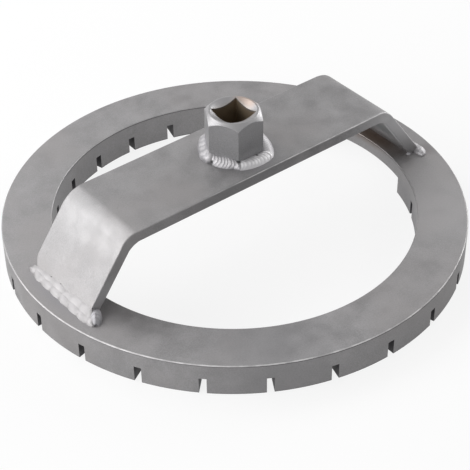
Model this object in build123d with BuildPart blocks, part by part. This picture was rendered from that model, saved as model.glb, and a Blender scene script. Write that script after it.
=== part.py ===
from build123d import *

import os
from math import cos, radians, sin, tan

# Fuel pump lock ring wrench: a slotted ring, a flat bar bent into a bridge and welded
# across it, and a hexagonal boss with a square drive welded on top of the bridge.
# The origin is the centre of the ring's bottom face, and the bridge runs along X.

os.makedirs("parts", exist_ok=True)

# Ring
ring_outer_diameter = 194.0
ring_wall = 20.8
ring_height = 14.2
ring_rim_chamfer = 1.0
ring_bore_chamfer = 0.4

# Drive slots, sawn right through the lower half of the ring's wall
slot_count = 24
slot_width = 2.9
slot_height = 7.2
slot_phase = -0.8

# Wide relief in the ring's underside, below the bridge's right foot
relief_angle = 35.2
relief_height = 7.8

# Bridge, a flat bar with two bends and splayed legs
bridge_width = 39.3
bridge_thickness = 4.8
bridge_rise = 29.3
bridge_leg_angle = 54.0
bridge_inner_bend = 5.4
bridge_foot_inset = 8.6
bridge_edge_chamfer = 0.4

# Drive boss
boss_across_flats = 22.0
boss_height = 18.8
boss_rim_diameter = 20.3
boss_chamfer_angle = 45.0
drive_square = 13.0
drive_sink_diameter = 18.8
drive_sink_angle = 30.0

# Weld runs round the boss, one along each flat
boss_weld_radius = 4.3
boss_weld_sink = 0.8
boss_weld_gap = 0.4

# Weld passes along the outside of the feet
lower_pass_radius = 2.5
lower_pass_sink = 0.4
lower_pass_overrun = 1.0
upper_pass_radius = 1.8
upper_pass_climb = 2.3
upper_pass_setback = 1.6
return_pass_radius = 4.0
return_pass_lift = 0.6
return_pass_overrun = 1.4
left_return_length = 4.4
right_return_length = 2.2
tack_radius = 1.3
tack_setback = 0.5

# Distance from one weld ripple to the next
boss_weld_pitch = 1.6
foot_weld_pitch = 3.1

# Form of every bead: sides of its section, place of each ripple's crest in the pitch, and
# depth of the valleys and length of the tapered ends as shares of the radius
bead_sides = 24
ripple_crest = 0.25
ripple_depth = 0.1
bead_cap = 0.5

# Sizes that follow from the ones above
ring_outer_radius = ring_outer_diameter / 2
ring_bore_radius = ring_outer_radius - ring_wall
ring_mid_radius = ring_bore_radius + ring_wall / 2
cutter_overrun = ring_wall / 4
half_pitch = 180 / slot_count

bridge_top = ring_height + bridge_rise
bridge_edge = bridge_width / 2
bridge_outer_bend = bridge_inner_bend + bridge_thickness
leg_angle = radians(bridge_leg_angle)
foot_outside = ring_outer_radius - bridge_foot_inset
foot_inside = foot_outside - bridge_thickness / sin(leg_angle)
bend_corner = foot_outside - bridge_rise / tan(leg_angle)
leg_below_ring = ring_height / 2

boss_flat_radius = boss_across_flats / 2
boss_corner_radius = boss_flat_radius / cos(radians(30))
boss_side = boss_corner_radius
boss_top = bridge_top + boss_height


def rippled_bead(radius, length, ripple_pitch):
    """Straight weld bead about the X axis: a row of ripples between two tapered ends."""
    valley = radius * (1 - ripple_depth)
    shoulder = radius * bead_cap
    ripples = max(2, round(length / ripple_pitch))
    pitch = length / ripples
    end = length / 2
    outline = [(-end - shoulder, shoulder), (-end, valley)]
    for ripple in range(ripples):
        start = ripple * pitch - end
        outline += [(start + ripple_crest * pitch, radius), (start + pitch, valley)]
    outline.append((end + shoulder, shoulder))
    with BuildPart() as bead:
        for place, section_radius in outline:
            with BuildSketch(Plane.YZ.offset(place)):
                RegularPolygon(section_radius, bead_sides)
        loft(ruled=True)
    return bead.part


# Ring with its drive slots and the wide relief. Its plane is turned so that the seam of
# the round walls falls halfway between two slots.
between_slots = Plane.XY.rotated((0, 0, slot_phase + half_pitch))
with BuildPart() as slotted_ring:
    with BuildSketch(between_slots):
        Circle(ring_outer_radius)
        Circle(ring_bore_radius, mode=Mode.SUBTRACT)
    extrude(amount=ring_height)
    top_edges = slotted_ring.edges().filter_by(GeomType.CIRCLE).group_by(Axis.Z)[-1].sort_by(SortBy.RADIUS)
    chamfer(top_edges[-1], length=ring_rim_chamfer)
    chamfer(top_edges[0], length=ring_bore_chamfer)
    with BuildSketch(between_slots):
        with PolarLocations(ring_mid_radius, slot_count, start_angle=half_pitch):
            Rectangle(ring_wall + 2 * cutter_overrun, slot_width)
    extrude(amount=slot_height, mode=Mode.SUBTRACT)
    with BuildSketch():
        with BuildLine():
            near = CenterArc((0, 0), ring_bore_radius - cutter_overrun, -relief_angle / 2, relief_angle)
            far = CenterArc((0, 0), ring_outer_radius + cutter_overrun, -relief_angle / 2, relief_angle)
            Line(near @ 0, far @ 0)
            Line(near @ 1, far @ 1)
        make_face()
    extrude(amount=relief_height, mode=Mode.SUBTRACT)

slotted_ring.part.label = "slotted_ring"
export_step(slotted_ring.part, "parts/slotted_ring.step")

# Bridge: the bar's outer profile, thickened inwards, with the feet cut level with the ring
with BuildPart() as bridge_strap:
    with BuildSketch(Plane.XZ):
        with BuildLine():
            leg_end = foot_outside + leg_below_ring / tan(leg_angle)
            profile = FilletPolyline(
                (-leg_end, ring_height - leg_below_ring),
                (-bend_corner, bridge_top),
                (bend_corner, bridge_top),
                (leg_end, ring_height - leg_below_ring),
                radius=bridge_outer_bend,
            )
            offset(profile, amount=bridge_thickness, side=Side.RIGHT)
        make_face()
    extrude(amount=bridge_edge, both=True)
    side_edges = bridge_strap.edges().group_by(Axis.Y)
    chamfer(side_edges[0] + side_edges[-1], length=bridge_edge_chamfer)
    split(bisect_by=Plane.XY.offset(ring_height), keep=Keep.TOP)

bridge_strap.part.label = "bridge_strap"
export_step(bridge_strap.part, "parts/bridge_strap.step")

# Boss: a hexagon with a turned top chamfer, a square drive and its lead-in
with BuildPart() as drive_boss:
    with BuildSketch(Plane.XY.offset(bridge_top)):
        RegularPolygon(boss_corner_radius, 6)
    extrude(amount=boss_height)
    with BuildSketch(Plane.XZ):
        rim = boss_rim_diameter / 2
        skirt = boss_corner_radius + 1
        chamfer_drop = (skirt - rim) * tan(radians(boss_chamfer_angle))
        with BuildLine():
            Polyline(
                (0, bridge_top),
                (skirt, bridge_top),
                (skirt, boss_top - chamfer_drop),
                (rim, boss_top),
                (0, boss_top),
                close=True,
            )
        make_face()
    revolve(axis=Axis.Z, mode=Mode.INTERSECT)
    with BuildSketch(Plane.XY.offset(bridge_top)):
        Rectangle(drive_square, drive_square)
    extrude(amount=boss_height, mode=Mode.SUBTRACT)
    sink_radius = drive_sink_diameter / 2
    with Locations((0, 0, boss_top)):
        Cone(
            bottom_radius=0,
            top_radius=sink_radius,
            height=sink_radius * tan(radians(drive_sink_angle)),
            align=(Align.CENTER, Align.CENTER, Align.MAX),
            mode=Mode.SUBTRACT,
        )

drive_boss.part.label = "drive_boss"
export_step(drive_boss.part, "parts/drive_boss.step")


# One weld run beside the boss flat that faces +X, kept between the planes through the
# boss corners on either side so that six of them close round the boss
with BuildPart() as boss_run:
    with Locations(Location((boss_flat_radius - boss_weld_sink, 0, bridge_top - boss_weld_sink), (0, 0, 90))):
        add(rippled_bead(boss_weld_radius, boss_side, boss_weld_pitch))
    with BuildSketch(Plane.XY.offset(bridge_top)):
        reach = boss_flat_radius + boss_weld_radius
        half_side = (boss_side - boss_weld_gap) / 2
        half_reach = reach * tan(radians(30)) - boss_weld_gap / 2
        with BuildLine():
            Polyline(
                (boss_flat_radius, -half_side),
                (reach, -half_reach),
                (reach, half_reach),
                (boss_flat_radius, half_side),
                close=True,
            )
        make_face()
    extrude(amount=boss_weld_radius, mode=Mode.INTERSECT)

for index, side in enumerate(["right_back", "back", "left_back", "left_front", "front", "right_front"]):
    with BuildPart() as boss_weld:
        add(boss_run.part, rotation=(0, 0, 30 + 60 * index))
    boss_weld.part.label = f"boss_weld_{side}"
    export_step(boss_weld.part, f"parts/boss_weld_{side}.step")

# Outer welds of the right foot: a lower pass on the ring, an upper pass on the leg,
# and a return round the leg's front corner
with BuildPart() as right_weld_lower:
    lower_length = bridge_width + 2 * (lower_pass_overrun - bead_cap * lower_pass_radius)
    with Locations(Location((foot_outside, 0, ring_height - lower_pass_sink), (0, 0, 90))):
        add(rippled_bead(lower_pass_radius, lower_length, foot_weld_pitch))
    add(slotted_ring.part, mode=Mode.SUBTRACT)
    add(bridge_strap.part, mode=Mode.SUBTRACT)

right_weld_lower.part.label = "right_weld_lower"
export_step(right_weld_lower.part, "parts/right_weld_lower.step")


def return_pass(length):
    """Short bead along the front edge of the right foot, ending outside the leg."""
    middle = foot_outside + return_pass_overrun - bead_cap * return_pass_radius - length / 2
    with BuildPart() as bead:
        with Locations((middle, -bridge_edge, ring_height + return_pass_lift)):
            add(rippled_bead(return_pass_radius, length, foot_weld_pitch))
        add(slotted_ring.part, mode=Mode.SUBTRACT)
        add(bridge_strap.part, mode=Mode.SUBTRACT)
        add(right_weld_lower.part, mode=Mode.SUBTRACT)
    return bead.part


with BuildPart() as right_weld_return:
    add(return_pass(right_return_length))

right_weld_return.part.label = "right_weld_return"
export_step(right_weld_return.part, "parts/right_weld_return.step")

with BuildPart() as right_weld_upper:
    upper_x = foot_outside - upper_pass_climb * cos(leg_angle)
    upper_z = ring_height + upper_pass_climb * sin(leg_angle)
    upper_length = bridge_width - 2 * (upper_pass_setback + bead_cap * upper_pass_radius)
    with Locations(Location((upper_x, 0, upper_z), (0, 0, 90))):
        add(rippled_bead(upper_pass_radius, upper_length, foot_weld_pitch))
    add(bridge_strap.part, mode=Mode.SUBTRACT)
    add(right_weld_lower.part, mode=Mode.SUBTRACT)
    add(right_weld_return.part, mode=Mode.SUBTRACT)

right_weld_upper.part.label = "right_weld_upper"
export_step(right_weld_upper.part, "parts/right_weld_upper.step")

# Tack left inside the right foot's front corner
with BuildPart() as right_tack:
    with Locations((foot_inside, tack_setback - bridge_edge, ring_height)):
        Sphere(tack_radius)
    add(slotted_ring.part, mode=Mode.SUBTRACT)
    add(bridge_strap.part, mode=Mode.SUBTRACT)
    add(right_weld_return.part, mode=Mode.SUBTRACT)

right_tack.part.label = "right_tack"
export_step(right_tack.part, "parts/right_tack.step")

# Left foot: the same welds in mirror image, with a longer return
with BuildPart() as left_weld_lower:
    mirror(right_weld_lower.part, about=Plane.YZ)

left_weld_lower.part.label = "left_weld_lower"
export_step(left_weld_lower.part, "parts/left_weld_lower.step")

with BuildPart() as left_weld_return:
    mirror(return_pass(left_return_length), about=Plane.YZ)

left_weld_return.part.label = "left_weld_return"
export_step(left_weld_return.part, "parts/left_weld_return.step")

with BuildPart() as left_weld_upper:
    mirror(right_weld_upper.part, about=Plane.YZ)
    add(left_weld_return.part, mode=Mode.SUBTRACT)

left_weld_upper.part.label = "left_weld_upper"
export_step(left_weld_upper.part, "parts/left_weld_upper.step")
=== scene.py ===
"""Dresses the fuel pump lock ring wrench: a slotted ring, a bar bent into a bridge and a
hexagonal drive boss, blasted and zinc plated, joined by bright welds."""

import logging
import math
from dataclasses import dataclass
from enum import Enum

import bpy
import numpy as np
from mathutils import Matrix, Quaternion, Vector


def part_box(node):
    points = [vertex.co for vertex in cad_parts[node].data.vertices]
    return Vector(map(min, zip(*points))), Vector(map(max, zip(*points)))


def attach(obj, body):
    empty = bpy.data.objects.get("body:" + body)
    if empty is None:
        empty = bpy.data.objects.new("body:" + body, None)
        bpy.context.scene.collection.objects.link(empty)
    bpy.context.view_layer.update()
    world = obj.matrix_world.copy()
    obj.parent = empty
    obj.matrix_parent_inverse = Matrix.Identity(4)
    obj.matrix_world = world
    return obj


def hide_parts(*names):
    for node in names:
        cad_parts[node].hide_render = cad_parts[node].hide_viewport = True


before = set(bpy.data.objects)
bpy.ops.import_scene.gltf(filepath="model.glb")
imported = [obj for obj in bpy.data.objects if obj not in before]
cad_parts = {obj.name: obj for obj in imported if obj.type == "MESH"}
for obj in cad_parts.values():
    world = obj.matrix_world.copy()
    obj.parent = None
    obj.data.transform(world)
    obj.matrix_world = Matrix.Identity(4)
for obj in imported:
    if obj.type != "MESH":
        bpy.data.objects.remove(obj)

log = logging.getLogger("wrench")

MM = 0.001
WHITE = (1.0, 1.0, 1.0, 1.0)
SHARP_ANGLE = math.radians(35)
BEVEL_ANGLE = math.radians(28)

Colour = tuple[float, float, float]
Place = tuple[float, float, float]
Range = tuple[float, float]
Array = np.ndarray
Toes = tuple[Array, Array, Array]
Socket = bpy.types.NodeSocket
Material = bpy.types.Material


class Slot(Enum):
    """The record's material slots."""

    RING = "ring_steel"
    BRIDGE = "bridge_steel"
    BOSS = "boss_steel"
    WELD = "weld_bead"


class BossSide(Enum):
    """The flats of the boss, each with the direction it faces in degrees from +X."""

    RIGHT_BACK = 30.0
    BACK = 90.0
    LEFT_BACK = 150.0
    LEFT_FRONT = 210.0
    FRONT = 270.0
    RIGHT_FRONT = 330.0


class Foot(Enum):
    """The feet of the bridge, each with its side of the ring along X."""

    LEFT = -1.0
    RIGHT = 1.0


# Meshes


def grid_quads(rows: int, columns: int, wrap: bool) -> Array:
    """Corner numbers of the squares of a grid of points.

    Args:
        rows: Rows of points.
        columns: Points in each row.
        wrap: Whether each row closes on itself.

    Returns:
        One row of four point numbers for each square.
    """
    number = np.arange(rows * columns).reshape(rows, columns)
    following = np.roll(number, -1, axis=1)
    last = columns if wrap else columns - 1
    corners = (number[:-1, :last], number[1:, :last], following[1:, :last], following[:-1, :last])
    return np.stack([corner.ravel() for corner in corners], axis=1)


def tube_shell(points: Array) -> tuple[Array, Array]:
    """Closed skin of a profile carried along a path, with a fan over each end.

    Args:
        points: Places of shape (stations, profile points, 3), each profile a closed loop.

    Returns:
        The vertices and the quads, where a fan's triangles repeat one corner.
    """
    first = np.broadcast_to(points[:1].mean(axis=1, keepdims=True), points[:1].shape)
    last = np.broadcast_to(points[-1:].mean(axis=1, keepdims=True), points[-1:].shape)
    closed = np.concatenate([first, points, last])
    rows, columns = closed.shape[:2]
    return closed.reshape(-1, 3), grid_quads(rows, columns, wrap=True)


def with_ends(values: Array) -> Array:
    """Values for every vertex of a tube's skin, where each fan's tip takes those of its end."""
    return np.concatenate([values[:1], values, values[-1:]]).ravel()


def outward(vertices: Array, quads: Array) -> Array:
    """Quads turned so that a closed skin faces outwards.

    The volume under each face adds up to the solid's own, which is negative when the skin
    is inside out.

    Args:
        vertices: Places of the skin's points.
        quads: Its faces.

    Returns:
        The faces, all reversed where that volume is negative.
    """
    a, b, c, d = (vertices[quads[:, corner]] for corner in range(4))
    volume = np.einsum("ij,ij->", a, np.cross(b, c)) + np.einsum("ij,ij->", a, np.cross(c, d))
    return quads if volume > 0 else quads[:, ::-1]


def make_piece(
    name: str,
    vertices: Array,
    quads: Array,
    nodes: tuple[str, ...],
    finish: Material,
    marks: dict[str, Array] | None = None,
    face_marks: dict[str, Array] | None = None,
) -> bpy.types.Object:
    """Puts a closed skin in the scene as a piece of the wrench.

    Points at one place become one point, and faces that shrink to a line are left out.

    Args:
        name: Name of the piece.
        vertices: Places in millimetres.
        quads: Faces, four point numbers each.
        nodes: The CAD nodes that the piece stands for.
        finish: Its material.
        marks: Values for each point that the material reads by name.
        face_marks: The same for each face.

    Returns:
        The new object.
    """
    _, kept, merged = np.unique(np.round(vertices, 4), axis=0, return_index=True, return_inverse=True)
    faces = merged.reshape(-1)[outward(vertices, quads)]
    turn = faces != np.roll(faces, -1, axis=1)
    whole = turn.sum(axis=1) >= 3
    faces, turn = faces[whole], turn[whole]
    corners = faces[turn]
    mesh = bpy.data.meshes.new(name)
    mesh.vertices.add(len(kept))
    mesh.vertices.foreach_set("co", (vertices[kept] * MM).ravel())
    mesh.loops.add(len(corners))
    mesh.loops.foreach_set("vertex_index", corners)
    mesh.polygons.add(len(faces))
    starts = np.concatenate([[0], np.cumsum(turn.sum(axis=1))[:-1]])
    mesh.polygons.foreach_set("loop_start", starts)
    mesh.update(calc_edges=True)
    mesh.validate()
    mesh.shade_smooth()
    mesh.set_sharp_from_angle(angle=SHARP_ANGLE)
    for domain, group, rows in (("POINT", marks, kept), ("FACE", face_marks, whole)):
        for mark, values in (group or {}).items():
            mesh.attributes.new(mark, "FLOAT", domain).data.foreach_set("value", values[rows])
    piece = bpy.data.objects.new(name, mesh)
    bpy.context.scene.collection.objects.link(piece)
    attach(piece, "root")
    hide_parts(*nodes)
    mesh.materials.append(finish)
    log.info("%s: %d faces for %s", name, len(faces), ", ".join(nodes))
    return piece


def break_edges(piece: bpy.types.Object, width: float, steps: int = 2) -> None:
    """Rounds the sharp edges of a piece.

    Args:
        piece: The piece.
        width: Width of the rounding in millimetres.
        steps: Flats that the rounding is made of.
    """
    bevel = piece.modifiers.new("broken_edges", "BEVEL")
    bevel.width = width * MM
    bevel.segments = steps
    bevel.limit_method = "ANGLE"
    bevel.angle_limit = BEVEL_ANGLE
    bevel.harden_normals = True


def even_shading(piece: bpy.types.Object) -> None:
    """Keeps flat faces flat right up to their rounded edges."""
    piece.modifiers.new("even_shading", "WEIGHTED_NORMAL").keep_sharp = True


def smooth_step(value: Array) -> Array:
    """Eases a share from 0 to 1 with a level start and end."""
    share = np.clip(value, 0.0, 1.0)
    return share * share * (3 - 2 * share)


def ease_ends(place: Array, rise: float, fall: float) -> Array:
    """Share that eases up from 0 over the first stretch of a run and back over the last."""
    return smooth_step((place - place[0]) / rise) * smooth_step((place[-1] - place) / fall)


def flat_radius(across: float, step: float, turn: Array) -> Array:
    """Half a width across flats, over the cosine of the angle from the middle of a flat."""
    return across / 2 / np.cos(turn % step - step / 2)


# Finishes


class NodeBench:
    """Adds nodes to one tree and joins them."""

    def __init__(self, tree: bpy.types.NodeTree) -> None:
        """Takes up a tree."""
        self.tree = tree

    def join(self, value: object, socket: Socket) -> None:
        """Sets a socket to a constant, or joins an output to it.

        Args:
            value: The constant or the output.
            socket: The socket.
        """
        if isinstance(value, Socket):
            self.tree.links.new(value, socket)
        else:
            socket.default_value = value

    def add(self, kind: str, entries: dict[str | int, object]) -> bpy.types.Node:
        """Adds a node and fills its sockets.

        Args:
            kind: Kind of node, in the words that follow ShaderNode.
            entries: What goes into each socket, by the socket's name or number.

        Returns:
            The node.
        """
        node = self.tree.nodes.new("ShaderNode" + kind)
        for name, value in entries.items():
            self.join(value, node.inputs[name])
        return node

    def reckon(self, operation: str, first: object, second: object) -> Socket:
        """Does one sum on two values.

        Args:
            operation: Name of the sum, such as ADD.
            first: First value.
            second: Second value.

        Returns:
            The result.
        """
        node = self.add("Math", {0: first, 1: second})
        node.operation = operation
        return node.outputs[0]

    def times(self, first: object, second: object) -> Socket:
        """Multiplies two values."""
        return self.reckon("MULTIPLY", first, second)


class MaterialBench(NodeBench):
    """Adds nodes to a new material that has a Principled shader."""

    def __init__(self, name: str) -> None:
        """Starts the material.

        Args:
            name: Name of the material.
        """
        self.material = bpy.data.materials.new(name)
        self.material.use_nodes = True
        super().__init__(self.material.node_tree)
        self.shader = self.tree.nodes["Principled BSDF"]
        self.place = self.add("TexCoord", {}).outputs["Object"]

    def noise(self, size: float, detail: float = 2.0, rough: float = 0.5) -> Socket:
        """Noise from 0 to 1 by the size of its blotches in millimetres and its finer octaves."""
        entries = {"Scale": 1 / (size * MM), "Detail": detail, "Roughness": rough}
        return self.add("TexNoise", {"Vector": self.place, **entries}).outputs["Fac"]

    def remap(self, value: object, low: float, high: float, start: float, end: float) -> Socket:
        """Carries a range of values over to another range, eased at both ends.

        Args:
            value: The output to read.
            low: Value that becomes start.
            high: Value that becomes end.
            start: New value at and below low.
            end: New value at and above high.

        Returns:
            The new output.
        """
        names = ("Value", "From Min", "From Max", "To Min", "To Max")
        node = self.add("MapRange", dict(zip(names, (value, low, high, start, end))))
        node.interpolation_type = "SMOOTHSTEP"
        return node.outputs["Result"]

    def blend(self, share: object, below: object, above: object) -> Socket:
        """Mixes two colours.

        Args:
            share: How much of the second colour shows.
            below: The first colour.
            above: The second colour.

        Returns:
            The mixed colour.
        """
        node = self.add("Mix", {0: share})
        node.data_type = "RGBA"
        for colour, socket in ((below, node.inputs[6]), (above, node.inputs[7])):
            self.join(colour if isinstance(colour, Socket) else (*colour, 1.0), socket)
        return node.outputs[2]

    def mark(self, name: str) -> Socket:
        """Reads a value that the mesh carries at each point or face.

        Args:
            name: Name of the mark.

        Returns:
            The value.
        """
        node = self.add("Attribute", {})
        node.attribute_name = name
        return node.outputs["Fac"]

    def distance(self, centre: Place, squash: Place = (1.0, 1.0, 1.0)) -> Socket:
        """Distance from a place, in metres.

        Args:
            centre: The place in millimetres.
            squash: Scale of each axis, where a small value stretches the field along it.

        Returns:
            The distance.
        """
        shift = [-c * s * MM for c, s in zip(centre, squash)]
        moved = self.add("Mapping", {"Vector": self.place, "Location": shift, "Scale": squash})
        length = self.add("VectorMath", {0: moved.outputs["Vector"]})
        length.operation = "LENGTH"
        return length.outputs["Value"]

    def relief(self, height: object, depth: float) -> None:
        """Bumps the surface by a height, of which 1 stands for a depth in millimetres."""
        bump = self.add("Bump", {"Distance": depth * MM, "Strength": 1.0, "Height": height})
        self.join(bump.outputs["Normal"], self.shader.inputs["Normal"])

    def dress(self, colour: Socket, metallic: float, cloud: Socket, roughness: Range) -> None:
        """Gives the shader its colour, its share of metal and a cloudy roughness.

        Args:
            colour: The colour.
            metallic: Share of metal.
            cloud: Noise that carries the roughness.
            roughness: Roughness where the noise is low and where it is high.
        """
        self.join(colour, self.shader.inputs["Base Color"])
        self.join(metallic, self.shader.inputs["Metallic"])
        self.join(self.remap(cloud, 0.3, 0.7, *roughness), self.shader.inputs["Roughness"])


@dataclass(frozen=True)
class TintAndPaintedLight:
    """Colour laid on the steel around a place: heat tint from welding, painted shade and painted light.

    Centre and reach are in millimetres. Strength is the colour's share at the centre. A
    small squash stretches the tint along its axis and a large one thins it. The tint is
    full out to the core's share of the reach and gone at the fade's, and ragged is the
    share of the reach by which noise shifts its edge.
    """

    centre: Place
    reach: float
    colour: Colour
    strength: float
    squash: Place = (1.0, 1.0, 1.0)
    core: float = 0.25
    fade: float = 1.2
    ragged: float = 0.35

    def share(self, bench: MaterialBench, cloud: Socket) -> Socket:
        """How much of the tint shows, which eases from its strength to 0 with the distance.

        Args:
            bench: The material's nodes.
            cloud: Noise that makes the edge ragged.

        Returns:
            The share.
        """
        reach = self.reach * MM
        away = bench.distance(self.centre, self.squash)
        away = bench.reckon("ADD", away, bench.times(cloud, self.ragged * reach))
        return bench.remap(away, self.core * reach, self.fade * reach, self.strength, 0.0)


@dataclass(frozen=True)
class BlastedSteel:
    """Bead blasted, zinc plated steel: a matt grey with fine grain and faint blotches."""

    name: str
    dark: Colour
    light: Colour
    warm: Colour
    tints_and_painted_light: tuple[TintAndPaintedLight, ...]
    metallic: float = 0.6
    roughness: Range = (0.42, 0.58)
    grain: float = 0.55
    grain_depth: float = 0.035
    # Colours of the painted highlight along edges, with the bar's scuffing, and of the painted shade.
    worn: Colour = (0.62, 0.61, 0.61)
    grime: Colour = (0.05, 0.049, 0.053)
    glance: float = 0.5

    def material(self) -> Material:
        """Builds the finish.

        Fine noise carries the colour from dark to light, broad noise adds the warm blotches,
        and patches of tint lie over them: heat tint in some places, painted shade and painted
        light in others. One mesh mark paints a highlight along edges, with real scuffing on the
        bar's corners, and another paints shade into the slots and as dark lines along edges.
        At a glancing angle the blasted face mirrors no more than the share that glance gives.

        Returns:
            The material.
        """
        bench = MaterialBench(self.name)
        grain = bench.noise(self.grain, detail=3.0, rough=0.65)
        cloud = bench.noise(9.0, detail=4.0, rough=0.6)
        body = bench.reckon("ADD", bench.times(grain, 0.5), bench.times(cloud, 0.5))
        colour = bench.blend(bench.remap(body, 0.32, 0.68, 0.0, 1.0), self.dark, self.light)
        drift = bench.remap(bench.noise(38.0), 0.42, 0.66, 0.0, 0.55)
        colour = bench.blend(drift, colour, self.warm)
        speck = bench.remap(bench.noise(1.6, detail=1.0), 0.70, 0.80, 0.0, 0.45)
        colour = bench.blend(speck, colour, self.dark)
        for tint in self.tints_and_painted_light:
            colour = bench.blend(tint.share(bench, cloud), colour, tint.colour)
        # Painted highlight along edges, with real scuffing on the bar's corners.
        patchiness = bench.remap(bench.noise(5.0), 0.35, 0.65, 0.35, 1.0)
        colour = bench.blend(bench.times(bench.mark("worn"), patchiness), colour, self.worn)
        # Painted shade in the slots and along the ring's edges.
        colour = bench.blend(bench.mark("grime"), colour, self.grime)
        bench.dress(colour, self.metallic, cloud, self.roughness)
        bench.shader.inputs["Specular Tint"].default_value = (self.glance,) * 3 + (1.0,)
        bench.relief(grain, self.grain_depth)
        return bench.material


@dataclass(frozen=True)
class TurnedSteel:
    """Drawn and turned bar: brighter, fine rings about the axis, brown socket walls in painted shade."""

    name: str
    dark: Colour
    light: Colour
    turned: Colour
    socket: Colour
    stain: TintAndPaintedLight
    metallic: float = 0.65
    roughness: Range = (0.36, 0.48)
    ring_pitch: float = 0.45

    def material(self) -> Material:
        """Builds the finish.

        The mesh mark named inside is 1 on the socket's walls, which take a brown tone and
        painted shade. The mark named turned is 1 where the lathe cut, and there the surface
        carries rings that are a sine of the distance from the axis.

        Returns:
            The material.
        """
        bench = MaterialBench(self.name)
        grain = bench.noise(0.5, detail=3.0, rough=0.6)
        cloud = bench.noise(6.0, detail=3.0)
        turned = bench.mark("turned")
        colour = bench.blend(bench.remap(grain, 0.3, 0.7, 0.0, 1.0), self.dark, self.light)
        colour = bench.blend(bench.remap(cloud, 0.5, 0.75, 0.0, 0.5), colour, self.dark)
        colour = bench.blend(turned, colour, self.turned)
        stained = bench.times(self.stain.share(bench, cloud), turned)
        colour = bench.blend(stained, colour, self.stain.colour)
        colour = bench.blend(bench.mark("inside"), colour, self.socket)
        bench.dress(colour, self.metallic, cloud, self.roughness)
        radius = bench.distance((0.0, 0.0, 0.0), (1.0, 1.0, 0.0))
        rings = bench.reckon("SINE", bench.times(radius, 2 * math.pi / (self.ring_pitch * MM)), 0.0)
        rings = bench.times(rings, bench.times(turned, 0.5))
        bench.relief(bench.reckon("ADD", rings, grain), 0.02)
        return bench.material


@dataclass(frozen=True)
class WeldMetal:
    """Weld metal: painted light on the crests, painted shade between them, black soot in the pits."""

    name: str
    valley_shade: Colour
    crest: Colour
    soot: Colour = (0.03, 0.03, 0.03)
    metallic: float = 0.5
    roughness: Range = (0.44, 0.58)

    def material(self) -> Material:
        """Builds the finish.

        The ripples' mesh mark runs from 0 in the hollows to 1 on a ripple and paints light on
        the crests and shade between them, and the mark named pit is 1 where soot lies.

        Returns:
            The material.
        """
        bench = MaterialBench(self.name)
        grain = bench.noise(0.5, detail=3.0, rough=0.6)
        cloud = bench.noise(3.0, detail=3.0)
        crest = bench.reckon("ADD", bench.mark("crest"), bench.remap(cloud, 0.3, 0.7, -0.18, 0.18))
        colour = bench.blend(bench.remap(crest, 0.1, 0.85, 0.0, 1.0), self.valley_shade, self.crest)
        colour = bench.blend(bench.remap(grain, 0.66, 0.76, 0.0, 0.5), colour, self.valley_shade)
        colour = bench.blend(bench.mark("pit"), colour, self.soot)
        bench.dress(colour, self.metallic, cloud, self.roughness)
        bench.relief(bench.reckon("ADD", grain, cloud), 0.05)
        return bench.material


# The wrench


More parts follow.
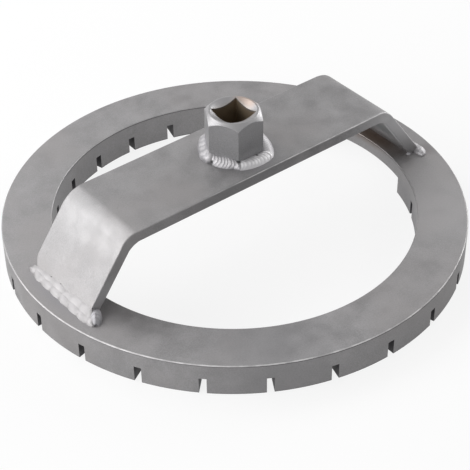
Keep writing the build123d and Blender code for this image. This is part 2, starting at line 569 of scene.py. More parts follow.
@dataclass
class SlottedRing:
    """The flat ring, sawn with drive slots and relieved under the bridge's right foot."""

    outer_radius: float
    height: float
    wall: float = 20.8
    rim_chamfer: float = 0.38
    bore_chamfer: float = 0.3
    slot_count: int = 24
    slot_width: float = 2.9
    slot_height: float = 7.2
    slot_phase: float = -0.8
    relief_angle: float = 35.2
    relief_height: float = 7.8
    arc_steps: int = 8
    radial_lines: int = 7
    edge: float = 0.12
    foot_line: float = 0.3
    rim_line: float = 0.35
    # Painted shade in the slots, at the foot of the walls and under the chamfers, and a painted highlight
    # on the chamfers, strongest on the side where the light falls.
    foot_shade: float = 0.5
    rim_shade: float = 0.8
    slot_shade: float = 0.85
    bore_shade: float = 0.75
    rim_highlight: float = 0.9
    rim_highlight_least: float = 0.26
    rim_light_side: float = -98.0
    bore_highlight: float = 0.12
    finish: BlastedSteel = BlastedSteel(
        "blasted_ring",
        dark=(0.211, 0.207, 0.209),
        light=(0.293, 0.287, 0.291),
        warm=(0.268, 0.256, 0.256),
        tints_and_painted_light=(
            # Painted shade and painted reflection, brown, in the crease under the right leg.
            TintAndPaintedLight((79.5, 0.0, 14.2), 8.5, (0.155, 0.110, 0.083), 0.9, (1.0, 0.36, 2.2)),
            TintAndPaintedLight((90.5, -22.0, 14.2), 6.0, (0.20, 0.185, 0.19), 0.6),
            TintAndPaintedLight((-90.0, 0.0, 14.2), 7.0, (0.24, 0.235, 0.25), 0.5, (1.0, 0.25, 1.0)),
            # A darker patch low on the bore's wall, front right.
            TintAndPaintedLight((62.0, -41.0, 3.0), 17.0, (0.163, 0.160, 0.172), 0.7, (0.7, 0.7, 1.6)),
            # Painted shade over the front of the ring, towards the left.
            TintAndPaintedLight((-44.0, -75.0, 10.0), 36.0, (0.185, 0.183, 0.188), 0.55),
            # Painted light over the front of the ring, towards the right.
            TintAndPaintedLight((68.0, -57.0, 12.0), 38.0, (0.335, 0.328, 0.332), 0.5),
        ),
    )

    def stations(self) -> tuple[Array, Array]:
        """Places round the ring where its section is set.

        A station has an angle and a lean. The lean runs from -1 at one wall of a slot to 1 at
        the other, and moves the station sideways by half the slot's width.

        Returns:
            The angles in degrees and the leans.
        """
        centres = self.slot_phase + 360 / self.slot_count * np.arange(self.slot_count)
        ends = np.array([-self.relief_angle / 2, self.relief_angle / 2])
        angles = np.concatenate([centres, centres, ends])
        leans = np.concatenate([-np.ones_like(centres), np.ones_like(centres), 0 * ends])
        margin = 1.5
        angles = (angles - self.slot_phase + margin) % 360 + self.slot_phase - margin
        tie_break = 0.001 * leans
        order = np.argsort(angles + tie_break)
        angles = np.append(angles[order], angles[order[0]] + 360)
        leans = np.append(leans[order], leans[order[0]])
        place = np.arange((len(angles) - 1) * self.arc_steps) / self.arc_steps
        knots = np.arange(len(angles))
        return np.interp(place, knots, angles), np.interp(place, knots, leans)

    def nodes(self) -> Array:
        """Points of the ring on a grid of angle, radius and height.

        The section is carried round the axis. Its top row is drawn in by the chamfers, the
        row below it lies where they start, and one more row under that and one above the
        foot bound the lines of painted shade along the edges.

        Returns:
            Places of shape (stations, radial lines, levels, 3).
        """
        angles, leans = self.stations()
        across = np.linspace(0, 1, self.radial_lines)
        radius = self.outer_radius - self.wall + self.wall * across
        chamfer = self.bore_chamfer + (self.rim_chamfer - self.bore_chamfer) * across
        shoulder = self.height - chamfer
        rows = [0 * across + z for z in (0, self.foot_line, self.slot_height, self.relief_height)]
        rows += [shoulder - self.rim_line, shoulder, 0 * across + self.height]
        levels = np.stack(rows, axis=1)
        radii = np.repeat(radius[:, None], levels.shape[1], axis=1)
        radii[0, -1] += self.bore_chamfer
        radii[-1, -1] -= self.rim_chamfer
        turn = np.radians(angles)[:, None] + leans[:, None] * np.arcsin(self.slot_width / 2 / radius)
        turn = turn[:, :, None]
        height = np.broadcast_to(levels, (len(angles), *levels.shape))
        return np.stack([radii * np.cos(turn), radii * np.sin(turn), height], axis=-1)

    def kept_cells(self, rows: int) -> tuple[Array, Array]:
        """Cells of the grid that the saw left.

        The slots take the two lowest rows of cells, and the relief takes the three lowest.

        Args:
            rows: Rows of cells from foot to top.

        Returns:
            True for each kept cell, of shape (stations, radial lines - 1, rows), and True
            for each station that starts a slot.
        """
        angles, _ = self.stations()
        middle = (angles + np.append(angles[1:], angles[0] + 360)) / 2
        pitch = 360 / self.slot_count
        off_slot = np.abs((middle - self.slot_phase + pitch / 2) % pitch - pitch / 2)
        off_relief = np.abs((middle + 180) % 360 - 180)
        kept = np.ones((len(angles), self.radial_lines - 1, rows), bool)
        in_slot = off_slot < 1e-6
        kept[in_slot, :, :2] = False
        kept[off_relief < self.relief_angle / 2, :, :3] = False
        return kept, in_slot

    def skin(self) -> tuple[Array, Array, dict[str, Array]]:
        """The faces between a kept cell and a missing one.

        The walls and the roof of each slot carry painted shade, and so do a thin line at the
        foot of both walls and one under their chamfers. The chamfers carry a painted highlight.
        The outer one and its dark line are strongest on the side where the light falls: they
        follow the cube of half of 1 plus the cosine of the turn from there, and the highlight
        keeps a least value all round.

        Returns:
            The vertices, the quads, and the painted shade and painted highlight of each quad.
        """
        nodes = self.nodes()
        kept, in_slot = self.kept_cells(nodes.shape[2] - 1)
        number = np.arange(nodes[..., 0].size).reshape(nodes.shape[:3])
        onward = np.roll(number, -1, axis=0)
        corners = (
            (number[:, :-1, :-1], number[:, 1:, :-1], number[:, 1:, 1:], number[:, :-1, 1:]),
            (number[:, :, :-1], onward[:, :, :-1], onward[:, :, 1:], number[:, :, 1:]),
            (number[:, :-1], number[:, 1:], onward[:, 1:], onward[:, :-1]),
        )
        grids = [np.stack(four, axis=-1) for four in corners]
        cells = [(kept, np.roll(kept, 1, axis=0))]
        for axis in (1, 2):
            last = kept.shape[axis]
            cells.append(tuple(np.insert(kept, place, False, axis=axis) for place in (0, last)))
        sides = [(one & ~other, other & ~one) for one, other in cells]
        grime, wear_and_glint = ([np.zeros(grid.shape[:3]) for grid in grids] for _ in range(2))
        cut, wall, level = range(3)
        slot_roof = 2
        # Painted shade in the slots, at the foot of the walls and under the chamfers; painted highlight on
        # the chamfers.
        grime[cut][in_slot | np.roll(in_slot, 1)] = self.slot_shade
        grime[level][in_slot, :, slot_roof] = self.slot_shade
        grime[wall][:, :, 0] = self.foot_shade
        grime[wall][:, 0, -2] = self.bore_shade
        turn = np.radians(self.stations()[0] - self.rim_light_side)
        lit_side = (0.5 + 0.5 * np.cos(turn)) ** 3
        grime[wall][:, -1, -2] = self.rim_shade * lit_side
        wear_and_glint[wall][:, -1, -1] = np.maximum(self.rim_highlight * lit_side, self.rim_highlight_least)
        wear_and_glint[wall][:, 0, -1] = self.bore_highlight
        marks = {
            name: np.concatenate([part[side] for part, pair in zip(parts, sides) for side in pair])
            for name, parts in (("grime", grime), ("worn", wear_and_glint))
        }
        quads = [part for grid, (one, two) in zip(grids, sides) for part in (grid[one], grid[two][:, ::-1])]
        return nodes.reshape(-1, 3), np.concatenate(quads), marks

    def build(self) -> None:
        """Makes and dresses the ring."""
        vertices, quads, marks = self.skin()
        used, quads = np.unique(quads, return_inverse=True)
        vertices, quads = vertices[used], quads.reshape(-1, 4)
        finish = self.finish.material()
        ring = make_piece(
            "ring_body", vertices, quads, ("slotted_ring",), finish, face_marks=marks
        )
        break_edges(ring, self.edge)


@dataclass
class BridgeStrap:
    """The flat bar with two bends, standing on the ring."""

    top: float
    ring_top: float
    foot_reach: float
    width: float
    thickness: float = 4.8
    leg_angle: float = 54.0
    outer_bend: float = 10.2
    edge: float = 0.5
    bulge: float = 0.30
    burnt_corner: float = 7.0
    burnt_height: float = 5.6
    leg_steps: int = 28
    bend_steps: int = 22
    top_steps: int = 60
    corner_points: int = 5
    face_points: int = 17
    # Scuffing and painted highlight on the front and back outer corners, rising along X from the start over
    # the reach.
    front_wear_and_glint: float = 0.65
    back_wear_and_glint: float = 0.25
    wear_and_glint_start: float = -60.0
    wear_and_glint_reach: float = 90.0
    finish: BlastedSteel = BlastedSteel(
        "blasted_bridge",
        dark=(0.204, 0.200, 0.202),
        light=(0.283, 0.278, 0.281),
        warm=(0.260, 0.248, 0.248),
        tints_and_painted_light=(
            TintAndPaintedLight((3.0, -7.0, 43.5), 16.0, (0.215, 0.215, 0.235), 0.55, (1.0, 1.0, 0.4)),
            # Painted shade on the inner face of the right leg.
            TintAndPaintedLight((65.8, 0.0, 26.6), 14.0, (0.06, 0.072, 0.075), 0.9, (1.0, 0.2, 1.0)),
            # Painted light on the left bend.
            TintAndPaintedLight((-70.0, 0.0, 38.0), 13.0, (0.32, 0.315, 0.318), 0.6, (1.0, 0.3, 1.0)),
            # Painted shade along the front face of the bar.
            TintAndPaintedLight((-12.0, -19.7, 41.0), 48.0, (0.15, 0.148, 0.152), 0.6, (1.0, 30.0, 1.0)),
            # Painted light on the bar's front face at the right bend and leg.
            TintAndPaintedLight((72.0, -19.7, 33.0), 26.0, (0.42, 0.415, 0.423), 0.85, (0.8, 13.0, 1.0)),
            # Painted light low on the front face of the left leg, lifting the shade of the lump.
            TintAndPaintedLight((-82.0, -19.7, 20.0), 14.0, (0.44, 0.435, 0.445), 0.85, (1.0, 30.0, 1.0)),
        ),
    )

    def profile(self) -> Array:
        """Section of the bar as a loop of width and depth.

        Each corner is a quarter circle, and the wide faces are divided so that they can bend.

        Returns:
            Pairs of place across the bar and depth below its outer face.
        """
        half = self.width / 2 - self.edge
        quarter = np.linspace(0, math.pi / 2, self.corner_points)
        arc = self.edge * np.stack([np.sin(quarter), 1 - np.cos(quarter)], axis=1)
        face = np.linspace(-half, half, self.face_points)[1:-1]
        outer = np.stack([face, 0 * face], axis=1)
        right = arc + [half, 0.0]
        deep = np.stack([-face, 0 * face + self.thickness], axis=1)
        lower_right = right[::-1] * [1, -1] + [0, self.thickness]
        left = lower_right * [-1, 1]
        upper_left = right * [-1, 1]
        return np.concatenate([outer, right, lower_right, deep, left[::-1], upper_left[::-1]])

    def half_line(self, depth: Array) -> tuple[Array, Array, Array]:
        """Line of the bar from the left foot to the middle of the top, at given depths.

        The leg is straight from the ring's face to the bend, the bend is an arc about a
        centre under the corner, and the top is level. Every depth ends on the ring's face.

        Args:
            depth: Depths below the outer face.

        Returns:
            X and Z of shape (stations, depths), and the share of bending at each station.
        """
        lean = math.radians(self.leg_angle)
        corner = self.foot_reach - (self.top - self.ring_top) / math.tan(lean)
        centre_x = -(corner - self.outer_bend * math.tan(lean / 2))
        centre_z = self.top - self.outer_bend
        radius = self.outer_bend - depth[None, :]
        turn = np.linspace(lean, 0, self.bend_steps)[:, None]
        bend_x = centre_x - radius * np.sin(turn)
        bend_z = centre_z + radius * np.cos(turn)
        share = np.linspace(0, 1, self.leg_steps, endpoint=False)[:, None]
        foot_x = bend_x[:1] - (bend_z[:1] - self.ring_top) / math.tan(lean)
        leg_x = foot_x + share * (bend_x[:1] - foot_x)
        leg_z = self.ring_top + share * (bend_z[:1] - self.ring_top)
        along = np.linspace(1, 0, self.top_steps // 2 + 1)[1:, None]
        top_x = along * bend_x[-1:] + 0 * depth
        top_z = 0 * along + bend_z[-1:]
        bending = np.sin(np.linspace(0, math.pi, self.bend_steps)) ** 0.5
        return (
            np.concatenate([leg_x, bend_x, top_x]),
            np.concatenate([leg_z, bend_z, top_z]),
            np.pad(bending, (self.leg_steps, self.top_steps // 2)),
        )

    def skin(self) -> tuple[Array, Array, Array]:
        """The section carried along the bent line.

        In a bend the inner corners of the section spread and the outer ones draw in. At the
        back corner of the left foot the weld burnt some of the bar's width away. The outer
        corners carry real scuffing and a painted highlight, most of all the front one towards
        its right end, where the light falls.

        Returns:
            The vertices, the quads, and the share of scuffing and painted highlight at each vertex.
        """
        profile = self.profile()
        across, depth = profile[:, 0], profile[:, 1]
        x, z, bending = self.half_line(depth)
        x = np.concatenate([x, -x[-2::-1]])
        z = np.concatenate([z, z[-2::-1]])
        bending = np.concatenate([bending, bending[-2::-1]])
        rim = np.abs(across) ** 6 / np.max(np.abs(across)) ** 6 * np.sign(across)
        spread = self.bulge * (2 * depth / self.thickness - 1)
        y = across + bending[:, None] * rim * spread
        low = np.clip(1 - (z - self.ring_top) / self.burnt_height, 0, 1) ** 1.6
        back_left = (x < 0) & (y > 0)
        y = y - np.where(back_left, self.burnt_corner * low * (y / (self.width / 2)) ** 3, 0.0)
        # Scuffing and painted highlight along the outer corners, strongest at the front and towards the
        # right end.
        inner = self.width / 2 - self.edge + 0.02
        corner = (np.abs(across) > inner) & (depth < 0.6 * self.edge)
        wear_and_glint = corner * np.where(across < 0, self.front_wear_and_glint, self.back_wear_and_glint)
        wear_and_glint = wear_and_glint * smooth_step((x - self.wear_and_glint_start) / self.wear_and_glint_reach)
        vertices, quads = tube_shell(np.stack([x, y, z], axis=-1))
        return vertices, quads, with_ends(wear_and_glint)

    def build(self) -> None:
        """Makes and dresses the bar."""
        vertices, quads, wear_and_glint = self.skin()
        finish, marks = self.finish.material(), {"worn": wear_and_glint}
        bar = make_piece("bridge_bar", vertices, quads, ("bridge_strap",), finish, marks)
        even_shading(bar)


@dataclass
class DriveBoss:
    """The hexagonal boss with its turned chamfer, square socket and conical lead-in."""

    foot: float
    top: float
    across_flats: float = 22.0
    rim_diameter: float = 20.3
    square: float = 13.0
    sink_diameter: float = 18.8
    sink_angle: float = 30.0
    edge: float = 0.16
    shadow_depth: float = 1.2
    finish: TurnedSteel = TurnedSteel(
        "turned_boss",
        dark=(0.225, 0.224, 0.231),
        light=(0.296, 0.295, 0.301),
        turned=(0.27, 0.265, 0.27),
        # Brown tone of the socket walls, with painted shade inside the socket.
        socket=(0.26, 0.205, 0.145),
        stain=TintAndPaintedLight(
            (8.2, 2.4, 61.0), 7.0, (0.34, 0.272, 0.235), 0.9, core=0.3, fade=1.0, ragged=0.0
        ),
    )

    def rows(self, turn: Array) -> tuple[Array, Array, dict[str, Array]]:
        """Section of the boss at each angle round its axis.

        The outside has six flats and the socket four. The chamfer falls at 45 degrees from
        the rim and the lead-in at its own angle from the sink's edge. The walls are fully
        dark from the shadow's depth below the lead-in.

        Args:
            turn: Angles in radians.

        Returns:
            Radius and height of shape (rows, angles), and the marks of the turned faces and
            of the inside of the socket.
        """
        sixth, quarter = math.pi / 3, math.pi / 2
        flat = flat_radius(self.across_flats, sixth, turn)
        wall = flat_radius(self.square, quarter, turn + quarter / 2)
        rim, sink = self.rim_diameter / 2, self.sink_diameter / 2
        chamfer_foot = self.top - (flat - rim)
        sink_foot = self.top - (sink - wall) * math.tan(math.radians(self.sink_angle))
        rows = (
            (flat, self.foot, 0, 0),
            (flat, chamfer_foot, 0.5, 0),
            ((flat + rim) / 2, (chamfer_foot + self.top) / 2, 1, 0),
            (rim, self.top, 1, 0),
            (sink, self.top, 1, 0),
            ((sink + wall) / 2, (sink_foot + self.top) / 2, 1, 0),
            (wall, sink_foot, 0.3, 0.2),
            (wall, sink_foot - self.shadow_depth, 0, 1),
            (wall, self.foot, 0, 1),
        )
        radius, height, turned, inside = (
            np.array([value + 0 * turn for value in column]) for column in zip(*rows)
        )
        return radius, height, {"turned": turned, "inside": inside}

    def build(self) -> None:
        """Makes and dresses the boss."""
        turn = np.radians(np.arange(0, 360, 1.0))
        radius, height, marks = self.rows(turn)
        points = np.stack([radius * np.cos(turn), radius * np.sin(turn), height], axis=-1)
        points = np.concatenate([points, points[:1]])
        marks = {name: np.concatenate([row, row[:1]]).ravel() for name, row in marks.items()}
        quads = grid_quads(*points.shape[:2], wrap=True)
        vertices, finish = points.reshape(-1, 3), self.finish.material()
        boss = make_piece("boss_body", vertices, quads, ("drive_boss",), finish, marks)
        break_edges(boss, self.edge, steps=3)


@dataclass
class WeldBead:
    """A run of weld metal between two toes, rippled by the pool that froze behind the arc.

    Pitch and depth are the length and the height of a ripple, bow and tilt are how far its
    middle and its upper end lag, and crown is the height of the bead's middle over the line
    between its toes, all in millimetres.
    """

    pitch: float
    depth: float
    bow: float
    crown: float
    seed: int
    crispness: Range = (1.0, 1.0)
    tilt: float = 0.0
    across: int = 22

    def wander(self, length: Array, period: float) -> Array:
        """Uneven wave between -1 and 1: three sines whose periods share no multiple.

        Args:
            length: Distance along the bead.
            period: Longest period.

        Returns:
            The wave at each distance.
        """
        phase = np.random.default_rng(self.seed).uniform(0, 2 * math.pi, 3)
        turns = 2 * math.pi * length / period
        waves = ((0.5, 1.0), (0.3, 2.3), (0.2, 4.1))
        return sum(size * np.sin(rate * turns + start) for (size, rate), start in zip(waves, phase))

    def skin(self, low: Array, high: Array, root: Array) -> tuple[Array, Array, Array]:
        """Surface of the bead as a function of place along it and share across it.

        A straight line from toe to toe is pushed out by a crown that follows half a sine. A
        ripple rises over each pitch as a quarter of a sine and steps down over the pitch's
        last quarter, like a scale. The ripple's phase is led by the crown, which bows it into
        a crescent, and by the share across, which tilts it. Its crispness changes from one
        end's value to the other's over the second half, and where it isn't crisp a shallow
        cosine takes its place. The bead is greyer at its toe.

        Args:
            low: Lower toe, of shape (stations, 3).
            high: Upper toe.
            root: The corner under the bead.

        Returns:
            The vertices, the quads, and the ripple's height from 0 to 1 at each vertex.
        """
        share = np.linspace(0, 1, self.across)[None, :]
        swell = np.sin(math.pi * share)
        middle = (low + high) / 2
        step = np.linalg.norm(np.diff(middle, axis=0), axis=1)
        length = np.concatenate([[0.0], np.cumsum(step)])[:, None]
        forward = np.gradient(middle, axis=0)
        out = np.cross(forward, high - low)
        out /= np.linalg.norm(out, axis=1, keepdims=True)
        out *= np.sign(np.sum(out * (middle - root), axis=1, keepdims=True))
        phase = (length + self.bow * swell + self.tilt * share) / self.pitch
        phase = phase + 0.22 * self.wander(length, 5.3 * self.pitch) + 0.08 * self.wander(share * 4, 3)
        rest = phase % 1.0
        scale = np.sin(math.pi / 2 * rest**0.8) * smooth_step((1 - rest) / 0.26)
        start, end = self.crispness
        crisp = start + (end - start) * smooth_step(length / length[-1] / 0.3 - 1.9)
        ripple = crisp * (scale - 0.5) - (1 - crisp) * 0.16 * np.cos(2 * math.pi * rest) + 0.5
        ends = ease_ends(length, 1.2, 1.2)
        rise = self.crown * swell**0.8 * (1 + 0.12 * self.wander(length, 9.0)) * (0.35 + 0.65 * ends)
        rise = rise + self.depth * ripple * swell**0.5 * ends
        surface = low[:, None] + share[..., None] * (high - low)[:, None] + rise[..., None] * out[:, None]
        loop = np.concatenate([surface, root[:, None]], axis=1)
        # The ripple's height also paints light on the crests and shade in the hollows between them.
        pale = ripple * swell**0.4 * (0.35 + 0.65 * smooth_step(share / 0.4))
        crest = np.concatenate([pale, np.zeros_like(length)], axis=1)
        vertices, quads = tube_shell(loop)
        return vertices, quads, with_ends(crest)

    def build(
        self,
        name: str,
        node: str,
        toes: Toes,
        finish: Material,
        pits: tuple[tuple[float, float, float, float], ...] = (),
    ) -> None:
        """Makes and dresses the bead.

        Args:
            name: Name of the piece.
            node: The CAD node that it stands for.
            toes: Lower toe, upper toe and root.
            finish: Weld metal.
            pits: Place and radius of each sooty pit.
        """
        vertices, quads, crest = self.skin(*toes)
        soot = np.zeros(len(vertices))
        for *place, radius in pits:
            away = np.linalg.norm(vertices - np.array(place), axis=1)
            soot = np.maximum(soot, smooth_step(1.5 - away / radius))
        marks = {"crest": crest, "pit": soot}
        make_piece(name, vertices, quads, (node,), finish, marks)


@dataclass
class BossWelds:
    """The six runs round the foot of the boss."""

    strap_top: float
    across_flats: float = 22.0
    half_span: float = 35.0
    overlap_sink: float = 0.5
    end_share: float = 0.72
    stations: int = 190
    toe_angles: tuple[float, ...] = (
        -176, -170, -164, -145, -129, -119, -94, -81, -61, -35, -11, 15, 60, 90, 104, 114, 133, 154, 168
    )
    toe_radii: tuple[float, ...] = (
        15.0, 13.8, 14.6, 14.6, 14.5, 15.7, 16.1, 16.5, 17.1, 15.9, 15.4, 14.2, 15.0, 13.4, 13.6, 15.3,
        14.9, 14.6, 15.4
    )
    climb_angles: tuple[float, ...] = (-180, -165, -135, -120, -108, -70, -50, -20, 30, 90, 150)
    climbs: tuple[float, ...] = (4.0, 3.2, 3.3, 2.6, 2.0, 1.7, 2.0, 3.8, 4.2, 4.0, 3.4)

    def toes(self, side: BossSide) -> Toes:
        """Toes and root of the run along one flat.

        The lower toe wanders round the boss at the radii seen in the photograph, and the
        upper toe climbs the flat. Both ends sink under the neighbouring runs.

        Args:
            side: The flat.

        Returns:
            Lower toe, upper toe and root, each of shape (stations, 3).
        """
        # How many degrees further on each run starts and ends.
        behind, ahead = {
            BossSide.LEFT_BACK: (0.0, 6.0),
            BossSide.LEFT_FRONT: (4.0, 0.0),
            BossSide.FRONT: (-4.0, 0.0),
            BossSide.RIGHT_FRONT: (-12.0, 0.0),
        }.get(side, (0.0, 0.0))
        span = np.linspace(behind - self.half_span, self.half_span + ahead, self.stations)
        turn = (side.value + span + 180) % 360 - 180
        reach = np.interp(turn, self.toe_angles, self.toe_radii, period=360)
        climb = np.interp(turn, self.climb_angles, self.climbs, period=360)
        turn = np.radians(turn)
        flat = flat_radius(self.across_flats, math.pi / 3, turn)
        fade = self.end_share + (1 - self.end_share) * ease_ends(span, 7.0, 5.0)
        reach = flat + (reach - flat) * fade
        climb = climb * fade
        direction = np.stack([np.cos(turn), np.sin(turn)], axis=1)

        def place(radius: Array, height: Array) -> Array:
            """Point at a radius and a height above the bar."""
            return np.column_stack([radius[:, None] * direction, self.strap_top + height])

        return (
            place(reach, 0 * reach - 0.12),
            place(flat - 0.1, climb),
            place(flat - self.overlap_sink, 0 * reach - 0.3),
        )

    def build(self, bright: Material, lit_front: Material) -> None:
        """Makes the six runs.

        Args:
            bright: Finish of most runs.
            lit_front: Finish of the run in front, which is the palest.
        """
        low = self.strap_top
        pits = (
            (-13.3, -2.9, low + 1.0, 0.8),
            (-6.5, -11.3, low + 2.5, 0.9),
            (2.6, -11.5, low + 2.0, 0.5),
        )
        fine = {
            BossSide.LEFT_BACK: WeldBead(2.9, 0.07, -1.3, 0.9, 13, (0.15, 0.15), -2.8),
            BossSide.LEFT_FRONT: WeldBead(1.45, 0.15, -1.3, 0.65, 14, (1.0, 1.0)),
            BossSide.FRONT: WeldBead(1.5, 0.2, -1.6, 0.55, 15, (0.0, 1.0)),
            BossSide.RIGHT_FRONT: WeldBead(1.2, 0.10, -0.4, 0.55, 16, (0.3, 0.2)),
        }
        plain = WeldBead(1.6, 0.18, -1.5, 0.75, 11, (0.6, 0.6))
        for side in BossSide:
            bead, label = fine.get(side, plain), side.name.lower()
            # The run in front takes a brighter copy of the weld metal, which paints light onto it.
            finish = lit_front if side is BossSide.FRONT else bright
            bead.build(f"boss_bead_{label}", f"boss_weld_{label}", self.toes(side), finish, pits)


@dataclass(frozen=True)
class WeldLump:
    """A blob of weld metal.

    Its centre and its half length, width and height are in millimetres. Ripples is the height
    of the crescents across it, and turned is the angle from X to its length in degrees.
    """

    name: str
    node: str
    centre: Place
    radii: Place
    seed: int
    ripples: float = 0.0
    turned: float = 0.0
    pitch: float = 1.5
    columns: int = 64
    rows: int = 42

    def build(self, finish: Material) -> None:
        """Makes and dresses the blob.

        It is an ellipsoid dented by three waves over its two angles. A ripple is a quarter
        of a circle over each pitch of its length.

        Args:
            finish: Weld metal.
        """
        turn = np.linspace(0, 2 * math.pi, self.columns, endpoint=False)[None, :]
        dip = np.linspace(0, math.pi, self.rows)[:, None]
        phase = np.random.default_rng(self.seed).uniform(0, 2 * math.pi, 3)
        dent = (
            0.05 * np.sin(2 * turn + phase[0]) * np.sin(dip)
            + 0.045 * np.sin(3 * turn + phase[1]) * np.sin(2 * dip)
            + 0.03 * np.sin(5 * turn + 3 * dip + phase[2]) * np.sin(dip) ** 2
        )
        ball = (np.sin(dip) * np.cos(turn), np.sin(dip) * np.sin(turn), np.cos(dip) + 0 * turn)
        wave = (ball[0] * self.radii[0] - 0.6 * ball[2] ** 2) / self.pitch
        ripple = np.sqrt(np.clip(1 - (wave % 1.0) ** 2, 0, 1))
        size = 1 + dent + self.ripples / max(self.radii) * ripple * np.sin(dip) ** 0.5
        points = np.stack(ball, axis=-1) * size[..., None] * np.array(self.radii)
        swing = np.radians(self.turned)
        spin = np.array([[np.cos(swing), np.sin(swing), 0], [-np.sin(swing), np.cos(swing), 0], [0, 0, 1]])
        vertices = (points @ spin + np.array(self.centre)).reshape(-1, 3)
        quads = grid_quads(*ripple.shape, wrap=True)
        marks = {"crest": ripple.ravel(), "pit": np.zeros(ripple.size)}
        make_piece(self.name, vertices, quads, (self.node,), finish, marks)


@dataclass
class FootWelds:
    """The welds of one foot: two passes along its outside, and lumps at its front corner."""

    foot: Foot
    ring_top: float
    foot_reach: float
    width: float
    leg_angle: float = 54.0
    lobe: float = 6.2
    stations: int = 420
    right_lower: float = 0.76
    right_upper: float = 0.82
    right_climb: float = 0.7
    low_places: tuple[float, ...] = (-25.1, -24.5, -23.0, -20.9, -17.0, 12.0, 18.2, 20.3, 21.0)
    low_toes: tuple[float, ...] = (-0.4, 0.7, 1.4, 1.8, 2.1, 2.1, 0.9, -0.2, -1.0)
    climb_places: tuple[float, ...] = (-21.8, -19.6, -16.1, -10.2, -3.4, 0.6, 7.0, 16.0, 18.5)
    climbs: tuple[float, ...] = (3.2, 5.2, 4.9, 4.8, 3.5, 4.3, 3.8, 3.0, 2.4)

    def leg_point(self, y: Array, up: Array, out: float = 0.0) -> Array:
        """Place on the leg's outer face.

        Args:
            y: Place across the bar.
            up: Distance up the face from the ring.
            out: Distance off the face.

        Returns:
            Places of shape (stations, 3).
        """
        lean = math.radians(self.leg_angle)
        x = self.foot_reach - up * math.cos(lean) + out * math.sin(lean)
        z = self.ring_top + up * math.sin(lean) + out * math.cos(lean)
        return np.column_stack([self.foot.value * x, y, z + 0 * y])

    def run(self, places: tuple[float, ...], right_share: float) -> Array:
        """Stations from one end of a pass to the other, which is shorter at the right foot."""
        y = np.linspace(places[0], places[-1], self.stations)
        return y if self.foot is Foot.LEFT else y * right_share

    def lower_toes(self) -> Toes:
        """Toes of the pass on the ring, whose lower toe runs in lobes.

        Returns:
            Lower toe, upper toe and root.
        """
        y = self.run(self.low_places, self.right_lower)
        lobes = np.abs(np.sin(math.pi * (y + 3.0) / self.lobe)) ** 0.6
        reach = self.foot_reach + np.interp(y, self.low_places, self.low_toes) - 0.5 + 0.55 * lobes
        low = np.column_stack([self.foot.value * reach, y, 0 * y + self.ring_top - 0.12])
        high = self.leg_point(y, 0.4 + 2.0 * ease_ends(y, 2.5, 4.0), 0.15)
        root = self.leg_point(y, 0 * y - 0.3, -0.4)
        return low, high, root

    def upper_toes(self) -> Toes:
        """Toes of the pass on the leg, which climbs at both ends.

        Returns:
            Lower toe, upper toe and root.
        """
        y = self.run(self.climb_places, self.right_upper)
        climb = np.interp(y, self.climb_places, self.climbs)
        climb = climb if self.foot is Foot.LEFT else self.right_climb * climb
        low = self.leg_point(y, 0 * y + 0.2, 0.75)
        high = self.leg_point(y, climb, -0.08)
        root = self.leg_point(y, 0 * y + 1.2, -0.5)
        return low, high, root

    def build(self, pale: Material, bright: Material, dull: Material) -> None:
        """Makes the passes and the lumps.

        Args:
            pale: Finish of the passes, close to the bar's.
            bright: Finish of the right foot's lump.
            dull: Finish of the left foot's lump and the tack, which are greyer.
        """
        side = self.foot.name.lower()
        lower = WeldBead(5.3, 0.02, -1.6, 0.38, 31, (0.2, 0.0))
        upper = WeldBead(6.1, 0.03, -2.2, 0.32, 37, (0.3, 0.0))
        specks = self.leg_point(np.array([7.0, 0.6]), np.array([3.8, 4.3]))
        pits = tuple((*speck, 0.45) for speck in specks) if self.foot is Foot.LEFT else ()
        lower.build(f"{side}_foot_lower_bead", f"{side}_weld_lower", self.lower_toes(), pale)
        upper.build(f"{side}_foot_upper_bead", f"{side}_weld_upper", self.upper_toes(), pale, pits)
        reach, front, top = self.foot_reach, -self.width / 2, self.ring_top
        end = f"{side}_foot_end_lump", f"{side}_weld_return"
        if self.foot is Foot.LEFT:
            centre = (3.3 - reach, front - 1.7, top + 0.1)
            WeldLump(*end, centre, (4.6, 2.3, 3.2), 5, ripples=0.3, turned=60.0).build(dull)
        else:
            centre, tack = (reach - 1.2, front - 0.9, top), (reach - 6.1, front + 0.4, top)
            WeldLump(*end, centre, (3.9, 2.5, 2.0), 8, turned=80.0).build(bright)
            WeldLump("right_foot_tack", "right_tack", tack, (1.1, 0.9, 0.8), 12).build(dull)


# The studio


@dataclass(frozen=True)
class Softbox:
    """A lamp with a rectangular face, aimed at the wrench. Its sizes are in metres."""

    name: str
    azimuth: float
    elevation: float
    power: float
    distance: float = 1.2
    width: float = 0.7
    height: float = 0.6
    aim_height: float = 0.02

    def build(self) -> None:
        """Hangs the lamp at its azimuth and elevation, facing the middle of the wrench."""
        light = bpy.data.lights.new(self.name, "AREA")
        light.shape = "RECTANGLE"
        light.size, light.size_y = self.width, self.height
        light.energy = self.power
        turn, rise = math.radians(self.azimuth), math.radians(self.elevation)
        level = math.cos(rise)
        away = Vector((level * math.cos(turn), level * math.sin(turn), math.sin(rise)))
        lamp = bpy.data.objects.new(self.name, light)
        lamp.location = away * self.distance + Vector((0, 0, self.aim_height))
        lamp.rotation_euler = away.to_track_quat("Z", "Y").to_euler()
        bpy.context.scene.collection.objects.link(lamp)


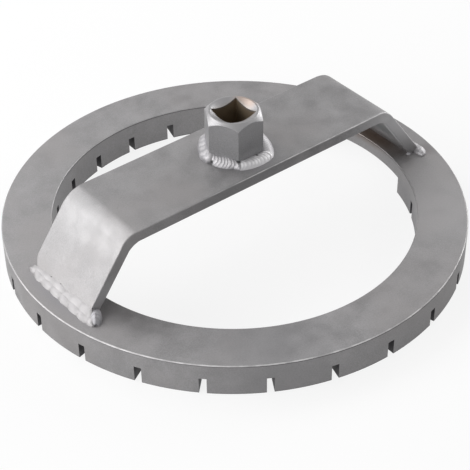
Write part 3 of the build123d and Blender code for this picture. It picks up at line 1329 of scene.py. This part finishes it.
@dataclass
class Studio:
    """Floor, lamps, world and camera.

    The camera, and the metal that mirrors the room, see the white backdrop at its own level,
    so that it needs no more light than the wrench.
    """

    camera_azimuth: float = -128.3
    camera_ground: float = 0.4844
    camera_height: float = 0.3851
    camera_tilt: float = -0.0019
    camera_roll: float = 0.0122
    lens: float = 111.63
    floor_half: float = 12.0
    floor_colour: Colour = (0.86, 0.86, 0.86)
    floor_white: float = 0.85
    world_strength: float = 0.2
    lamps: tuple[Softbox, ...] = (
        Softbox("left_low", 141.7, 16.0, 6.2),
        Softbox("left_high", 141.7, 42.0, 4.4),
        Softbox("front_left", -173.3, 16.0, 8.0),
        Softbox("front_right", -38.3, 42.0, 0.6),
        Softbox("back_left", 96.7, 42.0, 5.0),
        Softbox("back_right", 6.7, 16.0, 7.6),
    )

    def add_white(self, bench: NodeBench, share: float, lit: Socket, white: str) -> None:
        """Mixes plain white into a surface for camera, mirror and glass rays alone.

        Args:
            bench: The surface's nodes.
            share: Share of white that those rays meet.
            lit: The surface as the lamps light it.
            white: Kind of node that gives the white.
        """
        path = bench.add("LightPath", {})
        meeting = path.outputs["Is Camera Ray"]
        for ray in ("Is Glossy Ray", "Is Transmission Ray"):
            meeting = bench.reckon("MAXIMUM", meeting, path.outputs[ray])
        glow = bench.add(white, {"Color": WHITE, "Strength": 1.0}).outputs[0]
        mix = bench.add("MixShader", {0: bench.times(meeting, share), 1: lit, 2: glow})
        output = next(node for node in bench.tree.nodes if node.type.startswith("OUTPUT"))
        bench.join(mix.outputs[0], output.inputs["Surface"])

    def build_floor(self) -> None:
        """Lays a pale floor with faint unevenness."""
        half = self.floor_half
        corners = [(-half, -half, 0), (half, -half, 0), (half, half, 0), (-half, half, 0)]
        mesh = bpy.data.meshes.new("floor")
        mesh.from_pydata(corners, [], [(0, 1, 2, 3)])
        floor = bpy.data.objects.new("floor", mesh)
        bpy.context.scene.collection.objects.link(floor)
        bench = MaterialBench("pale_floor")
        paler = tuple(channel * 1.01 for channel in self.floor_colour)
        colour = bench.blend(bench.noise(400.0), self.floor_colour, paler)
        bench.join(colour, bench.shader.inputs["Base Color"])
        bench.shader.inputs["Roughness"].default_value = 0.9
        bench.shader.inputs["Specular IOR Level"].default_value = 0.2
        self.add_white(bench, self.floor_white, bench.shader.outputs["BSDF"], "Emission")
        mesh.materials.append(bench.material)

    def build_world(self) -> None:
        """Lights the room evenly."""
        world = bpy.data.worlds.new("room")
        world.use_nodes = True
        background = world.node_tree.nodes["Background"]
        background.inputs["Color"].default_value = WHITE
        background.inputs["Strength"].default_value = self.world_strength
        self.add_white(NodeBench(world.node_tree), 1.0, background.outputs[0], "Background")
        bpy.context.scene.world = world

    def build_camera(self) -> None:
        """Stands the camera where the photograph was taken.

        It looks at the middle of the ring's lower face, then tilts and rolls by the small
        angles that its fit to the ring's edges gave.
        """
        turn, ground = math.radians(self.camera_azimuth), self.camera_ground
        place = Vector((ground * math.cos(turn), ground * math.sin(turn), self.camera_height))
        forward = -place.normalized()
        right = forward.cross(Vector((0, 0, 1))).normalized()
        forward = Quaternion(right, self.camera_tilt) @ forward
        up = right.cross(forward)
        roll = Quaternion(forward, self.camera_roll)
        right, up = roll @ right, roll @ up
        camera = bpy.data.cameras.new("camera")
        camera.lens = self.lens
        camera.sensor_width = 36.0
        camera.clip_start = 0.01
        holder = bpy.data.objects.new("camera", camera)
        basis = Matrix((right, up, -forward)).transposed()
        holder.matrix_world = Matrix.Translation(place) @ basis.to_4x4()
        bpy.context.scene.collection.objects.link(holder)
        bpy.context.scene.camera = holder

    def build(self) -> None:
        """Sets up the studio."""
        self.build_floor()
        self.build_world()
        for lamp in self.lamps:
            lamp.build()
        self.build_camera()
        bpy.context.scene.view_settings.view_transform = "Standard"


def highest(node: str) -> list[float]:
    """Highest corner of a CAD node's box, in millimetres."""
    return (np.array(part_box(node)[1]) / MM).tolist()


def main() -> None:
    """Builds the wrench and the studio."""
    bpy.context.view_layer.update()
    outer_radius, _, ring_top = highest("slotted_ring")
    foot_reach, half_width, strap_top = highest("bridge_strap")
    width = 2 * half_width
    SlottedRing(outer_radius, ring_top).build()
    BridgeStrap(strap_top, ring_top, foot_reach, width).build()
    DriveBoss(foot=strap_top, top=highest("drive_boss")[2]).build()
    metals = (
        WeldMetal("bright_weld", (0.24, 0.235, 0.245), (0.40, 0.39, 0.40)),
        # A brighter copy of the bright weld, painting light onto the run in front of the boss.
        WeldMetal("fresh_weld", (0.45, 0.442, 0.452), (0.72, 0.71, 0.72)),
        WeldMetal(
            "dull_weld", (0.22, 0.216, 0.23), (0.345, 0.34, 0.355), metallic=0.4, roughness=(0.56, 0.7)
        ),
        WeldMetal("pale_weld", (0.255, 0.248, 0.25), (0.31, 0.30, 0.305)),
    )
    bright, lit_front, dull, pale = (metal.material() for metal in metals)
    BossWelds(strap_top).build(bright, lit_front)
    for foot in Foot:
        FootWelds(foot, ring_top, foot_reach, width).build(pale, bright, dull)
    Studio().build()


if __name__ == "__main__":
    logging.basicConfig(level=logging.INFO, format="%(message)s")
    main()
